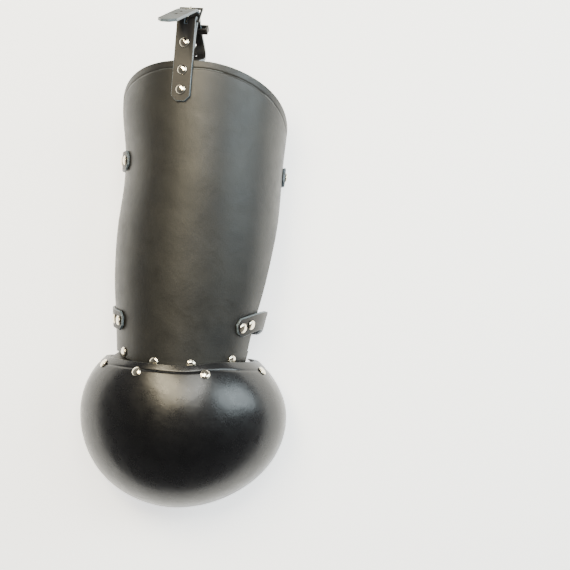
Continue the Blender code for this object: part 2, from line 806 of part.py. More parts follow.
def make_buckle(place, black_metal, nickel):
    """Buckle frame and prong. Returns the hidden box that cuts the prong's hole in the billet."""
    heel = heel_place(place)
    half = STRAP_WIDTH / 2 + CLEAR
    low = Vector((-half - BAR, -BAR / 2, -BAR / 2))
    high = Vector((half + BAR, FRAME_REACH + BAR / 2, BAR / 2))
    frame = block("hanger_buckle", heel, low, high, black_metal)
    low = Vector((-half, BAR / 2, -BAR))
    high = Vector((half, FRAME_REACH - BAR / 2, BAR))
    combine(frame, block("cut_buckle_opening", heel, low, high))
    bm = bmesh.new()
    lie = heel @ Matrix.Rotation(math.pi / 2, 4, "Y")
    ring = prong_eye() + PRONG_RING
    bmesh.ops.create_cone(
        bm, cap_ends=True, segments=PRONG_SIDES, radius1=ring, radius2=ring, depth=PRONG_WIDTH, matrix=lie
    )
    prong = add_object("hanger_prong", bm, nickel)
    low = Vector((-PRONG_WIDTH / 2, 0, BAR / 2 + CLEAR))
    high = Vector((PRONG_WIDTH / 2, FRAME_REACH + BAR / 2, BAR / 2 + CLEAR + PRONG_THICK))
    combine(prong, block("join_prong_pin", heel, low, high), "UNION")
    combine(prong, cutter("cut_prong_eye", [lie], prong_eye(), PRONG_WIDTH))
    grown = Vector((CLEAR, CLEAR, CLEAR))
    return block("cut_billet_prong", heel, low - grown, high + grown)


def make_keeper(place, centres, normals, distance, strap_leather):
    """Leather loop round the billet, loose on its inner side."""
    centre, normal, along = spot_on_line(centres, normals, distance)
    spot = place @ frame_matrix(centre, normal, along)
    half = STRAP_WIDTH / 2 + CLEAR
    play = STRAP_THICK / 2 + KEEPER_PLAY
    side = -half - KEEPER_SLACK
    low = Vector((-KEEPER_WIDTH / 2, side, -play))
    high = Vector((KEEPER_WIDTH / 2, half, play))
    wall = Vector((0, KEEPER_THICK, KEEPER_THICK))
    keeper = block("hanger_keeper", spot, low - wall, high + wall, strap_leather)
    through = Vector((KEEPER_WIDTH, 0, 0))
    combine(keeper, block("cut_keeper", spot, low - through, high + through))


def make_hanger(plate, strap_leather, black_metal, nickel):
    place = plate_frame(HANGER_ANGLE, HIP_Y - HANGER_BELOW)
    root_cut = make_tab(place, strap_leather, nickel)
    prong_cut = make_buckle(place, black_metal, nickel)
    centres, at_prong = billet_line()
    normals = line_normals(centres, Vector((1, 0, 0)))
    billet = strap("hanger_billet", centres, normals, True, strap_leather)
    billet.matrix_world = place
    holes = []
    for k in range(-HOLES_IN_LOOP, HOLES_IN_TONGUE + 1):
        if k != 0:
            holes.append(place @ face_place(centres, normals, at_prong + k * HOLE_PITCH))
    combine(billet, cutter("cut_billet_holes", holes, HOLE_RADIUS, 2 * STRAP_THICK))
    combine(billet, root_cut)
    combine(billet, prong_cut)
    combine(plate, root_cut)
    make_keeper(place, centres, normals, at_prong - KEEPER_BACK, strap_leather)


def main():
    clear_scene()
    leather = material("armour_leather", (0.012, 0.012, 0.013), 0.38)
    strap_leather = material("strap_leather", (0.02, 0.018, 0.017), 0.5)
    nickel = material("nickel", (0.72, 0.69, 0.62), 0.22, 1.0)
    black_metal = material("black_steel", (0.02, 0.02, 0.02), 0.35, 1.0)
    plate = make_joint(leather, strap_leather, nickel)
    make_hanger(plate, strap_leather, black_metal, nickel)
    make_leg_straps(plate, strap_leather, nickel)


main()
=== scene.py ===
"""Looks of a leather cuisse: black cowhide plates, strap leather, nickel rivets, a small buckle.

The cuisse lies on its open back. +Z is the front of the thigh, +Y the hip, +X the inner side of
the leg. Lengths are in metres.
"""
import math

import bmesh
import bpy
from mathutils import Matrix, Vector, noise


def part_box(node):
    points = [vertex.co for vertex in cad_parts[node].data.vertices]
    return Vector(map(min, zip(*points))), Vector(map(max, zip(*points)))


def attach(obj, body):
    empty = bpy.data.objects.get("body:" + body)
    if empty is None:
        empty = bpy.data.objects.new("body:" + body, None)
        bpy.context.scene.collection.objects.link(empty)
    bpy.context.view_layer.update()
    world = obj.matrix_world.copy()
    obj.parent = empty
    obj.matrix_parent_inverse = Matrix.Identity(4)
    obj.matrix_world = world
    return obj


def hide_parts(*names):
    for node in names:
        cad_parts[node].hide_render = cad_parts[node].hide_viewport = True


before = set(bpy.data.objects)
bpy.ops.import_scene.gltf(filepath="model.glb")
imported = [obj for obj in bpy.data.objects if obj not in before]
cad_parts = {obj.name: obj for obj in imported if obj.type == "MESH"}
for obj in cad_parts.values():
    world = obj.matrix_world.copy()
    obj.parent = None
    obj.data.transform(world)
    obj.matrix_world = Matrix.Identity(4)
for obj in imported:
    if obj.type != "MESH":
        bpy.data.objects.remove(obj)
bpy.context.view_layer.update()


# Thigh plate
# One sheet of 3 mm vegetable-tanned cowhide, dyed black and waxed, formed wet round the thigh.
# A hot creaser ran a line below its hip rim. Its edges are cut, rounded and rubbed.

PLATE_WALL = 0.003
AXIS_HEIGHT = 0.033
PLATE_LENGTH = 0.314
PLATE_MIDDLE = -0.003
PLATE_HALF_WIDTH = 0.0874
OUTER_WRAP = 110.0
OUTER_DROP = 0.043
OUTER_DROP_POWER = 2.6
INNER_DROP = 0.054
INNER_DROP_POWER = 1.75
OUTER_RISE = 0.0072
INNER_RISE = 0.0025
RISE_ANGLE = 57.0
RISE_LIMIT = 1.6
PLATE_OVERLAP = 0.0050
KNEE_RIM_RISE = 0.0082
RISE_MIDDLE = 0.020
RISE_SPAN = 0.020
HIP_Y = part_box("thigh_plate")[1][1]
PLATE_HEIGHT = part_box("thigh_plate")[1][2]
KNEE_RIM_Y = HIP_Y - PLATE_LENGTH + PLATE_OVERLAP

# down is a share of PLATE_LENGTH, shift and half of PLATE_HALF_WIDTH, high of PLATE_HEIGHT, and
# inner is the angle of the swept inner edge in degrees from the front.
PLATE_SECTIONS = (
    # down, shift, half, high, inner
    (0.00, -0.020, 1.014, 1.000, 112.0),
    (0.15, -0.022, 1.010, 0.985, 110.0),
    (0.30, 0.011, 0.962, 0.968, 103.0),
    (0.40, 0.018, 0.957, 0.955, 91.0),
    (0.55, 0.006, 0.977, 0.930, 77.5),
    (0.72, -0.002, 0.948, 0.895, 68.5),
    (0.85, -0.010, 0.880, 0.866, 65.5),
    (1.00, -0.028, 0.800, 0.838, 68.0),
)
DOWN, SHIFT, HALF, HIGH, INNER = range(5)

CREASE_INSET = 0.0078
CREASE_DEPTH = 0.0006
CREASE_HALF = 0.0008
RIM_BAND = 0.014
RIM_ROWS = 18
PLATE_ROWS = 92
PLATE_COLUMNS = 180
ANGLE_ROUNDS = 6
SLOPE_STEP = 0.002
EDGE_ROUND = 0.0007
EDGE_SEGMENTS = 2
EDGE_SLOT = 2
CORNER_ANGLE = 48.0
SMOOTH_ANGLE = 40.0
WELD_REACH = 1e-6
UNEVEN = 0.0005
UNEVEN_SPAN = 0.060


def section_value(column, share):
    """Smooth value of one column of the plate's sections at a share of its length."""
    rows = PLATE_SECTIONS
    share = min(max(share, 0.0), 1.0)
    i = max(k for k in range(len(rows) - 1) if rows[k][DOWN] <= share)
    slopes = []
    for k in (i, i + 1):
        before = rows[max(k - 1, 0)]
        after = rows[min(k + 1, len(rows) - 1)]
        slopes.append((after[column] - before[column]) / (after[DOWN] - before[DOWN]))
    step = rows[i + 1][DOWN] - rows[i][DOWN]
    t = (share - rows[i][DOWN]) / step
    low = (2 * t**3 - 3 * t**2 + 1) * rows[i][column] + (t**3 - 2 * t**2 + t) * step * slopes[0]
    high = (3 * t**2 - 2 * t**3) * rows[i + 1][column] + (t**3 - t**2) * step * slopes[1]
    return low + high


def plate_point(angle, y, out=0.0):
    """Point of the plate's outer face, out metres off it, at an angle in degrees from the front."""
    share = (HIP_Y - y) / PLATE_LENGTH
    centre = PLATE_MIDDLE + section_value(SHIFT, share) * PLATE_HALF_WIDTH
    half = section_value(HALF, share) * PLATE_HALF_WIDTH + out
    high = section_value(HIGH, share) * PLATE_HEIGHT - AXIS_HEIGHT + out
    turn = math.radians(angle)
    return Vector((centre + half * math.sin(turn), y, AXIS_HEIGHT + high * math.cos(turn)))


def hip_rim(angle):
    """Height of the hip rim, which falls towards both sides."""
    if angle < 0:
        return HIP_Y - OUTER_DROP * (-angle / 90) ** OUTER_DROP_POWER
    return HIP_Y - INNER_DROP * (angle / 90) ** INNER_DROP_POWER


def rim_climb(x):
    """How far the knee cop's upper rim climbs at x, towards the inner side."""
    return KNEE_RIM_RISE * (1 + math.tanh((x - RISE_MIDDLE) / RISE_SPAN)) / 2


def lower_edge(angle):
    """Height of the plate's lower edge, hidden under the knee cop's rim."""
    rise = OUTER_RISE if angle < 0 else INNER_RISE
    rise *= min((angle / RISE_ANGLE) ** 2, RISE_LIMIT)
    return KNEE_RIM_Y + rim_climb(plate_point(angle, KNEE_RIM_Y).x) - PLATE_OVERLAP + rise


def frame_matrix(point, normal, along):
    """Axes at a point: Z along the normal, X along the given direction."""
    z = Vector(normal).normalized()
    x = Vector(along)
    x = (x - z * x.dot(z)).normalized()
    return Matrix.Translation(Vector(point)) @ Matrix((x, z.cross(x), z)).transposed().to_4x4()


def surface_frame(point_at, angle, y):
    """Frame on a shell: Z out of the face, X round the leg towards the inner side."""
    round_leg = point_at(angle + 1, y) - point_at(angle - 1, y)
    up_leg = point_at(angle, y + SLOPE_STEP) - point_at(angle, y - SLOPE_STEP)
    return frame_matrix(point_at(angle, y), round_leg.cross(up_leg), round_leg)


def unevenness(point):
    """Slow hand-formed waviness of the hide."""
    return UNEVEN * noise.noise(point / UNEVEN_SPAN)


def crease(distance, inset):
    """Depth of the creased line at a distance from the rim."""
    return CREASE_DEPTH * math.exp(-(((distance - inset) / CREASE_HALF) ** 2))


def below_rim(angle, y):
    """Distance from the hip rim, square to it."""
    round_leg = (plate_point(angle + 1, y) - plate_point(angle - 1, y)).length
    slope = (hip_rim(angle + 1) - hip_rim(angle - 1)) / round_leg if abs(angle) > 1 else 0.0
    return (hip_rim(angle) - y) / math.hypot(1, slope)


def made(piece):
    """Turn a piece with modifiers into a plain mesh."""
    shown = piece.evaluated_get(bpy.context.evaluated_depsgraph_get())
    mesh = bpy.data.meshes.new_from_object(shown)
    piece.modifiers.clear()
    piece.data = mesh
    return piece


def put(name, bm, finishes, smooth_angle=SMOOTH_ANGLE):
    """A new object at the origin with its finishes in slot order."""
    bmesh.ops.remove_doubles(bm, verts=bm.verts, dist=WELD_REACH)
    bmesh.ops.recalc_face_normals(bm, faces=bm.faces)
    mesh = bpy.data.meshes.new(name)
    bm.to_mesh(mesh)
    bm.free()
    for finish in finishes:
        mesh.materials.append(finish)
    mesh.shade_smooth()
    mesh.set_sharp_from_angle(angle=math.radians(smooth_angle))
    piece = bpy.data.objects.new(name, mesh)
    bpy.context.scene.collection.objects.link(piece)
    return piece


def rounded(piece, radius, segments, edge_slot=None):
    """Round a piece's sharp edges, the round faces taking the finish in edge_slot."""
    bevel = piece.modifiers.new("rounded edges", "BEVEL")
    bevel.width = radius
    bevel.segments = segments
    bevel.limit_method = "ANGLE"
    bevel.angle_limit = math.radians(CORNER_ANGLE)
    if edge_slot is not None:
        bevel.material = edge_slot
    return made(piece)


def hide(name, outer, inner, finishes, edge_round):
    """A sheet of leather between two grids of points: grain outside, flesh inside, cut edges."""
    bm = bmesh.new()
    sides = []
    for slot, grid in enumerate((outer, inner)):
        verts = [[bm.verts.new(point) for point in row] for row in grid]
        sides.append(verts)
        for upper, lower in zip(verts, verts[1:]):
            for j in range(len(upper) - 1):
                face = bm.faces.new((upper[j], upper[j + 1], lower[j + 1], lower[j]))
                face.material_index = slot
    rows = len(outer)
    columns = len(outer[0])
    border = [(0, j) for j in range(columns)]
    border += [(i, columns - 1) for i in range(1, rows)]
    border += [(rows - 1, j) for j in range(columns - 2, -1, -1)]
    border += [(i, 0) for i in range(rows - 2, 0, -1)]
    grain, flesh = sides
    for (a, b), (c, d) in zip(border, border[1:] + border[:1]):
        edge = bm.faces.new((grain[a][b], grain[c][d], flesh[c][d], flesh[a][b]))
        edge.material_index = EDGE_SLOT
    return rounded(put(name, bm, finishes), edge_round, EDGE_SEGMENTS, EDGE_SLOT)


def linear(code):
    """An sRGB hex colour as the linear colour that a shader takes."""
    channels = [int(code[k : k + 2], 16) / 255 for k in (1, 3, 5)]
    return (*[c / 12.92 if c <= 0.04045 else ((c + 0.055) / 1.055) ** 2.4 for c in channels], 1.0)


def add(tree, kind, settings, links=None):
    """Add a node, set its properties, sockets and colour stops, and link its inputs."""
    node = tree.nodes.new(kind)
    for name, value in settings.items():
        if name == "stops":
            for element, (position, code) in zip(node.color_ramp.elements, value):
                element.position = position
                element.color = linear(code)
        elif name in node.inputs:
            node.inputs[name].default_value = value
        else:
            setattr(node, name, value)
    for name, source in (links or {}).items():
        tree.links.new(source, node.inputs[name])
    return node


def new_finish(name):
    """A material with an empty node tree, and that tree."""
    finish = bpy.data.materials.new(name)
    finish.use_nodes = True
    tree = finish.node_tree
    tree.nodes.clear()
    return finish, tree


def noise_node(tree, place, size, detail, **settings):
    """Noise whose patches are about size metres wide."""
    settings = {"Scale": 1 / size, "Detail": detail, **settings}
    return add(tree, "ShaderNodeTexNoise", settings, {"Vector": place})


def ramp_node(tree, factor, *stops):
    """Colours at their positions along a factor."""
    return add(tree, "ShaderNodeValToRGB", {"stops": stops}, {"Fac": factor})


def range_node(tree, value, low, high):
    """The middle of a noise spread from low to high."""
    spread = {"From Min": 0.3, "From Max": 0.7, "To Min": low, "To Max": high}
    return add(tree, "ShaderNodeMapRange", spread, {"Value": value})


def bump_node(tree, height, strength, depth, under=None, **settings):
    """Relief of depth metres, laid on the relief under it."""
    links = {"Height": height}
    if under is not None:
        links["Normal"] = under.outputs["Normal"]
    return add(tree, "ShaderNodeBump", {"Strength": strength, "Distance": depth, **settings}, links)


def finish_with(tree, settings, links):
    """The shader at the end of a material's nodes."""
    shader = add(tree, "ShaderNodeBsdfPrincipled", settings, links)
    output = tree.nodes.new("ShaderNodeOutputMaterial")
    tree.links.new(shader.outputs["BSDF"], output.inputs["Surface"])


def waxed_cowhide(name, dark, worn, smoothest, roughest, pore, pore_depth):
    """Black-dyed, waxed vegetable-tanned cowhide: satin, cloudy with wax, with pores of size pore,
    broad shallow ripples where the wet hide was pushed into shape, and a few scratches."""
    finish, tree = new_finish(name)
    place = add(tree, "ShaderNodeTexCoord", {}).outputs["Object"]
    cloud = noise_node(tree, place, 0.045, 4.0)
    tint = ramp_node(tree, cloud.outputs["Fac"], (0.35, dark), (0.75, worn))
    rub = noise_node(tree, place, 0.014, 6.0, Roughness=0.65)
    gloss = range_node(tree, rub.outputs["Fac"], smoothest, roughest)
    along = {"Rotation": (0.0, 0.0, 0.9), "Scale": (1.0, 0.06, 1.0)}
    stretch = add(tree, "ShaderNodeMapping", along, {"Vector": place})
    drag = noise_node(tree, stretch.outputs["Vector"], 0.0035, 2.0)
    scratch = ramp_node(tree, drag.outputs["Fac"], (0.27, "#ffffff"), (0.33, "#000000"))
    cells = {"Scale": 1 / pore, "Randomness": 1.0}
    pores = add(tree, "ShaderNodeTexVoronoi", cells, {"Vector": place})
    ripple = noise_node(tree, place, 0.028, 3.0, Distortion=0.6)
    waves = bump_node(tree, ripple.outputs["Fac"], 0.35, 0.0012)
    grain = bump_node(tree, pores.outputs["Distance"], 0.5, pore_depth, waves)
    cut = bump_node(tree, scratch.outputs["Color"], 0.10, 0.0001, grain, invert=True)
    links = {
        "Base Color": tint.outputs["Color"],
        "Roughness": gloss.outputs["Result"],
        "Normal": cut.outputs["Normal"],
    }
    finish_with(tree, {"IOR": 1.5, "Metallic": 0.0, "Specular IOR Level": 0.42}, links)
    return finish


def flesh_side(name, dark, light):
    """The loose, fibrous back of a dyed hide: matt, brushed, lighter than the grain."""
    finish, tree = new_finish(name)
    place = add(tree, "ShaderNodeTexCoord", {}).outputs["Object"]
    fibre = noise_node(tree, place, 0.0016, 6.0, Roughness=0.7)
    patch = noise_node(tree, place, 0.030, 3.0)
    inputs = {0: fibre.outputs["Fac"], 1: patch.outputs["Fac"]}
    both = add(tree, "ShaderNodeMath", {"operation": "MULTIPLY"}, inputs)
    tint = ramp_node(tree, both.outputs["Value"], (0.15, dark), (0.40, light))
    nap = bump_node(tree, fibre.outputs["Fac"], 0.6, 0.0004)
    finish_with(
        tree,
        {"Roughness": 0.92, "Sheen Weight": 0.10, "Sheen Roughness": 0.5, "Specular IOR Level": 0.3},
        {"Base Color": tint.outputs["Color"], "Normal": nap.outputs["Normal"]},
    )
    return finish


def cut_edge(name, dark, light, roughness):
    """A hide's cut edge, bevelled and rubbed: layered fibre that took less dye than the grain."""
    finish, tree = new_finish(name)
    place = add(tree, "ShaderNodeTexCoord", {}).outputs["Object"]
    fibre = noise_node(tree, place, 0.0012, 5.0)
    tint = ramp_node(tree, fibre.outputs["Fac"], (0.3, dark), (0.7, light))
    rough = bump_node(tree, fibre.outputs["Fac"], 0.4, 0.0002)
    finish_with(
        tree,
        {"Roughness": roughness},
        {"Base Color": tint.outputs["Color"], "Normal": rough.outputs["Normal"]},
    )
    return finish


# The plate's grain gives a soft satin sheen, its flesh side a matt grey back, and its rubbed
# edge a thin lighter outline.
plate_grain = waxed_cowhide("waxed_cowhide_plate", "#141413", "#201f1c", 0.40, 0.50, 0.0011, 0.00008)
plate_flesh = flesh_side("cowhide_flesh_side", "#1d1c1b", "#4a4744")
plate_cut = cut_edge("rubbed_plate_edge", "#1c1d1d", "#3c4040", 0.42)
plate_finishes = (plate_grain, plate_flesh, plate_cut)


def plate_place(row, column):
    """Angle and y of one point of the plate's grid, whose inner edge depends on y in turn."""
    angle = 0.0
    y = HIP_Y
    for _ in range(ANGLE_ROUNDS):
        edge = section_value(INNER, (HIP_Y - y) / PLATE_LENGTH)
        angle = -OUTER_WRAP + column / PLATE_COLUMNS * (OUTER_WRAP + edge)
        top = hip_rim(angle)
        if row < RIM_ROWS:
            y = top - RIM_BAND * row / RIM_ROWS
        else:
            y = top - RIM_BAND + (lower_edge(angle) - top + RIM_BAND) * (row - RIM_ROWS) / PLATE_ROWS
    return angle, y


def plate_grids():
    """Outer and inner faces of the plate, finer near the hip rim to hold its creased line."""
    outer = []
    inner = []
    for row in range(RIM_ROWS + PLATE_ROWS + 1):
        outer.append([])
        inner.append([])
        for column in range(PLATE_COLUMNS + 1):
            angle, y = plate_place(row, column)
            wave = unevenness(plate_point(angle, y))
            outer[-1].append(plate_point(angle, y, wave - crease(below_rim(angle, y), CREASE_INSET)))
            inner[-1].append(plate_point(angle, y, wave - PLATE_WALL))
    return outer, inner


def settle(piece, slot, *nodes):
    """Hand a finished piece over: it stands for its nodes, which are hidden, and rides the body. slot is
    not used.
    """
    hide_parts(*nodes)
    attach(piece, "root")


plate = hide("thigh_plate_hide", *plate_grids(), plate_finishes, EDGE_ROUND)
settle(plate, "armour_leather", "thigh_plate")


# Knee cop
# A dome of the same 3 mm cowhide, soaked and stretched over a form, so its grain is pulled
# smoother and takes a higher shine. A creased line follows its upper rim.

KNEE_WALL = 0.003
KNEE_WIDEST = 0.0545
KNEE_HALF_WIDTH = 0.1100
KNEE_HEIGHT = 0.119
KNEE_LOWER = 0.0995
KNEE_UPPER = 0.081
KNEE_SHOULDER = 0.107
KNEE_LEAN = 0.0065
KNEE_SQUARENESS = 2.3
KNEE_CREASE_INSET = 0.0068
KNEE_RIM_BAND = 0.012
KNEE_RIM_ROWS = 16
KNEE_ROWS = 80
KNEE_COLUMNS = 190
HALVINGS = 26
NO_SIZE = 1e-6


def knee_section(y, inset=0.0):
    """Centre, half width and rise above the axis line of the dome's section at y."""
    down = KNEE_RIM_Y - KNEE_WIDEST - y
    if down > 0:
        reach = min(down / (KNEE_LOWER - inset), 1.0)
        wide = math.sqrt(1 - reach**2)
        tall = (1 - reach**KNEE_SQUARENESS) ** (1 / KNEE_SQUARENESS)
        lean = -KNEE_LEAN * (down / KNEE_LOWER) ** 2
    else:
        wide = math.sqrt(max(1 - (down / (KNEE_UPPER - inset)) ** 2, 0.0))
        tall = math.sqrt(max(1 - (down / (KNEE_SHOULDER - inset)) ** 2, 0.0))
        lean = -KNEE_LEAN * (down / KNEE_WIDEST) ** 2
    return lean, (KNEE_HALF_WIDTH - inset) * wide, (KNEE_HEIGHT - AXIS_HEIGHT - inset) * tall


def climbed(point):
    """A point of the level-rimmed dome moved up with the rim, the less the nearer the widest line."""
    share = min(max(1 - (KNEE_RIM_Y - point.y) / KNEE_WIDEST, 0.0), 1.0)
    return point + Vector((0, rim_climb(point.x) * share, 0))


def knee_point(angle, y, inset=0.0):
    """Dome point at an angle in degrees from the front, y as on a dome with a level rim."""
    centre, half, high = knee_section(y, inset)
    turn = math.radians(angle)
    return climbed(Vector((centre + half * math.sin(turn), y, AXIS_HEIGHT + high * math.cos(turn))))


def inside_knee(point, inset):
    """Whether a point lies inside the level-rimmed dome."""
    centre, half, high = knee_section(point.y, inset)
    if half < NO_SIZE or high < NO_SIZE:
        return False
    return ((point.x - centre) / half) ** 2 + ((point.z - AXIS_HEIGHT) / high) ** 2 < 1


def knee_ray(drop, tilt, sweep, inset):
    """Point of the level-rimmed dome, drop below its rim, in a half plane that leans back by tilt."""
    base = Vector((knee_section(KNEE_RIM_Y, inset)[0], KNEE_RIM_Y - drop, 0.0))
    ray = Vector((-math.cos(sweep), -math.sin(tilt) * math.sin(sweep), math.cos(tilt) * math.sin(sweep)))
    near = 0.0
    far = 2 * (KNEE_LOWER + KNEE_WIDEST)
    for _ in range(HALVINGS):
        reach = (near + far) / 2
        if inside_knee(base + ray * reach, inset):
            near = reach
        else:
            far = reach
    return base + ray * near


def knee_grids():
    """Outer and inner faces of the dome, from its upper rim over the front to the floor edge."""
    steps = [(KNEE_RIM_BAND * i / KNEE_RIM_ROWS, 0.0) for i in range(KNEE_RIM_ROWS)]
    steps += [(KNEE_RIM_BAND, math.pi / 2 * i / KNEE_ROWS) for i in range(KNEE_ROWS + 1)]
    outer = []
    inner = []
    for drop, tilt in steps:
        outer.append([])
        inner.append([])
        for j in range(KNEE_COLUMNS + 1):
            sweep = math.pi * j / KNEE_COLUMNS
            point = knee_ray(drop, tilt, sweep, 0.0)
            sunk = crease(KNEE_RIM_Y - point.y, KNEE_CREASE_INSET) - unevenness(point) * math.sin(sweep)
            outer[-1].append(climbed(knee_ray(drop, tilt, sweep, sunk)))
            inner[-1].append(climbed(knee_ray(drop, tilt, sweep, KNEE_WALL)))
    return outer, inner


# Smoother grain that gives the dome its deep shine. Its colour is darker than the plate's as painted shade
# on the dome.
knee_grain_painted_shade = waxed_cowhide("waxed_cowhide_stretched_painted_shade", "#08080a", "#111113", 0.24, 0.33, 0.0013, 0.00004)
knee = hide("knee_cop_hide", *knee_grids(), (knee_grain_painted_shade, plate_flesh, plate_cut), EDGE_ROUND)
settle(knee, "armour_leather", "knee_cop")


# Joining strip
# A 2 mm strip of strap leather behind the joint of plate and knee cop. Both rivet rows pass
# through it, and it steps from the plate's inside face up to the knee cop's.

JOINT_WALL = 0.002
STRIP_REACH = 0.012
STRIP_BELOW_ROW = 0.0072
KNEE_ROW = 0.0096
SEAT = 0.0003
FACET_GAP = 0.0009
STRIP_COLUMNS = 90
STRIP_ANGLES = (-88.0, 76.0)
STRIP_SHARES = (0.25, 0.5, 0.75)
STRIP_ROUND = 0.0004


def strip_grids():
    """Outer and inner faces of the strip, each column running from the plate down to the cop."""
    grids = []
    first, last = STRIP_ANGLES
    for extra in (0.0, JOINT_WALL):
        columns = []
        for j in range(STRIP_COLUMNS + 1):
            angle = first + (last - first) * j / STRIP_COLUMNS
            low = lower_edge(angle)
            turn_y = low - SEAT - extra
            climb = rim_climb(knee_point(angle, KNEE_RIM_Y).x)
            knee_y = min(turn_y - climb, KNEE_RIM_Y - 2 * SEAT - extra)
            foot = KNEE_RIM_Y - KNEE_ROW - STRIP_BELOW_ROW
            column = []
            for y in (low + STRIP_REACH, (low + STRIP_REACH + turn_y) / 2, turn_y):
                column.append(plate_point(angle, y, -PLATE_WALL - SEAT - extra))
            end = knee_point(angle, knee_y, KNEE_WALL + FACET_GAP + extra)
            column += [column[-1].lerp(end, share) for share in STRIP_SHARES]
            for y in (knee_y, (knee_y + foot) / 2, foot):
                column.append(knee_point(angle, y, KNEE_WALL + FACET_GAP + extra))
            columns.append(column)
        grids.append(list(zip(*columns)))
    return grids


# Strap leather: duller and more open in the grain than the plates, with a pale bluish cut edge
# that outlines every strap.
strap_grain = waxed_cowhide("waxed_strap_leather", "#0e0c0b", "#1a1613", 0.44, 0.56, 0.0009, 0.00010)
strap_flesh = flesh_side("strap_flesh_side", "#222527", "#474c4e")
strap_cut = cut_edge("bevelled_strap_edge", "#2e3436", "#66717a", 0.45)
strap_finishes = (strap_grain, strap_flesh, strap_cut)
strip = hide("joining_strip", *strip_grids(), strap_finishes, STRIP_ROUND)
settle(strip, "strap_leather", "knee_strip")


# Leg straps
# Four straps of 2.8 mm strap leather, 20 mm wide, with clipped ends riveted to the plate's
# sides. They turn round its edges and run along the floor to a sleeve behind the leg.

STRAP_THICK = 0.0028
STRAP_WIDTH = 0.020
STRAP_CLIP = 0.0055
STRAP_SEAT = 0.0007
STRAP_BEND = 0.005
STRAP_STEP = 2.5
BEND_STEPS = 8
STRAP_ROUND = 0.0005
CLASP_LENGTH = 0.026
CLASP_WALL = 0.0012
CLASP_RAMP = 0.014
CLASP_LEVEL = 0.0047
END_GAP = 0.0012
ROUNDING = 1e-9
STRAP_RIVETS = (0.0065, 0.0190)
STRAP_BOW = 0.009
LEG_STRAPS = (
    # level, side, start angle, start and clasp as shares of PLATE_LENGTH below HIP_Y, bow
    ("upper", "outer", -64.0, 0.3250, 0.3250, 0.0),
    ("upper", "inner", 90.0, 0.3250, 0.3250, 0.0),
    ("lower", "outer", -56.0, 0.8592, 0.8400, 0.0),
    ("lower", "inner", 43.5, 0.8516, 0.8400, 1.0),
)


def line_lengths(centres):
    """Distance of each point of a line from its start."""
    lengths = [0.0]
    for before, after in zip(centres, centres[1:]):
        lengths.append(lengths[-1] + (after - before).length)
    return lengths


def spot_on_line(centres, normals, distance):
    """Centre, face normal and direction of a strap at a distance along its middle line."""
    lengths = line_lengths(centres)
    i = max(k for k in range(len(lengths) - 1) if lengths[k] <= distance + ROUNDING)
    t = (distance - lengths[i]) / (lengths[i + 1] - lengths[i])
    along = (centres[i + 1] - centres[i]).normalized()
    normal = normals[i].lerp(normals[i + 1], t)
    return centres[i].lerp(centres[i + 1], t), (normal - along * normal.dot(along)).normalized(), along


def face_place(centres, normals, distance):
    """Frame on a strap's outer face: Z out of it, X along it."""
    centre, normal, along = spot_on_line(centres, normals, distance)
    return frame_matrix(centre + normal * STRAP_THICK / 2, normal, along)


def strap(name, centres, normals, end_clip, place, punches=()):
    """A strap along a middle line, its corners cut off at the start and, if asked, at the end."""
    lengths = line_lengths(centres)
    cuts = [STRAP_CLIP]
    if end_clip:
        cuts.append(lengths[-1] - STRAP_CLIP)
    stations = [0.0]
    for station in sorted(lengths[1:] + cuts):
        if station in cuts or station - stations[-1] > FACET_GAP:
            stations.append(station)
    spots = [spot_on_line(centres, normals, min(station, lengths[-1])) for station in stations]
    outer = []
    inner = []
    for k, (centre, normal, _) in enumerate(spots):
        along = (spots[min(k + 1, len(spots) - 1)][0] - spots[max(k - 1, 0)][0]).normalized()
        normal = (normal - along * normal.dot(along)).normalized()
        from_end = min(stations[k], lengths[-1] - stations[k]) if end_clip else stations[k]
        side = normal.cross(along) * (STRAP_WIDTH / 2 - max(STRAP_CLIP - from_end, 0.0))
        lift = normal * (STRAP_THICK / 2)
        outer.append([place @ (centre - side + lift), place @ (centre + side + lift)])
        inner.append([place @ (centre - side - lift), place @ (centre + side - lift)])
    piece = hide(name, outer, inner, strap_finishes, 0.0)
    for punch in punches:
        hole = piece.modifiers.new("punched hole", "BOOLEAN")
        hole.object = punch
    piece = rounded(made(piece), STRAP_ROUND, EDGE_SEGMENTS, EDGE_SLOT)
    for punch in punches:
        bpy.data.objects.remove(punch, do_unlink=True)
    return piece


def leg_strap_line(start_angle, start_y, end_y, bow):
    """Middle line of one strap from its cut end, round the side and along the floor."""
    sign = -1 if start_angle < 0 else 1
    floor = STRAP_THICK / 2
    down = Vector((0, 0, -1))
    end_x = sign * END_GAP / 2
    centres = []
    normals = []
    angle = start_angle
    while True:
        turned = (abs(angle) - abs(start_angle)) / (OUTER_WRAP - abs(start_angle))
        y = start_y + (end_y - start_y) * turned + bow * STRAP_BOW * math.sin(math.pi * turned)
        place = surface_frame(plate_point, angle, y)
        point = plate_point(angle, y, STRAP_SEAT + STRAP_THICK / 2)
        if point.z < floor + STRAP_BEND:
            break
        centres.append(point)
        normals.append(place.col[2].to_3d())
        angle += sign * STRAP_STEP
    side = centres[-1]
    aside = normals[-1]
    for k in range(1, BEND_STEPS + 1):
        turn = math.pi / 2 * k / BEND_STEPS
        x = side.x - sign * STRAP_BEND * (1 - math.cos(turn))
        centres.append(Vector((x, side.y, side.z - (side.z - floor) * math.sin(turn))))
        normals.append(aside.lerp(down, k / BEND_STEPS).normalized())
    raised = floor + CLASP_WALL + SEAT
    ramp = end_x + sign * (CLASP_LENGTH / 2 + CLASP_RAMP)
    held = end_x + sign * (CLASP_LENGTH / 2 + CLASP_LEVEL)
    end = [Vector((ramp, end_y, floor)), Vector((held, end_y, raised)), Vector((end_x, end_y, raised))]
    end.insert(0, (centres[-1] + end[0]) / 2)
    return centres + end, normals + [down] * len(end)


rivet_fronts = []
rivet_backs = []


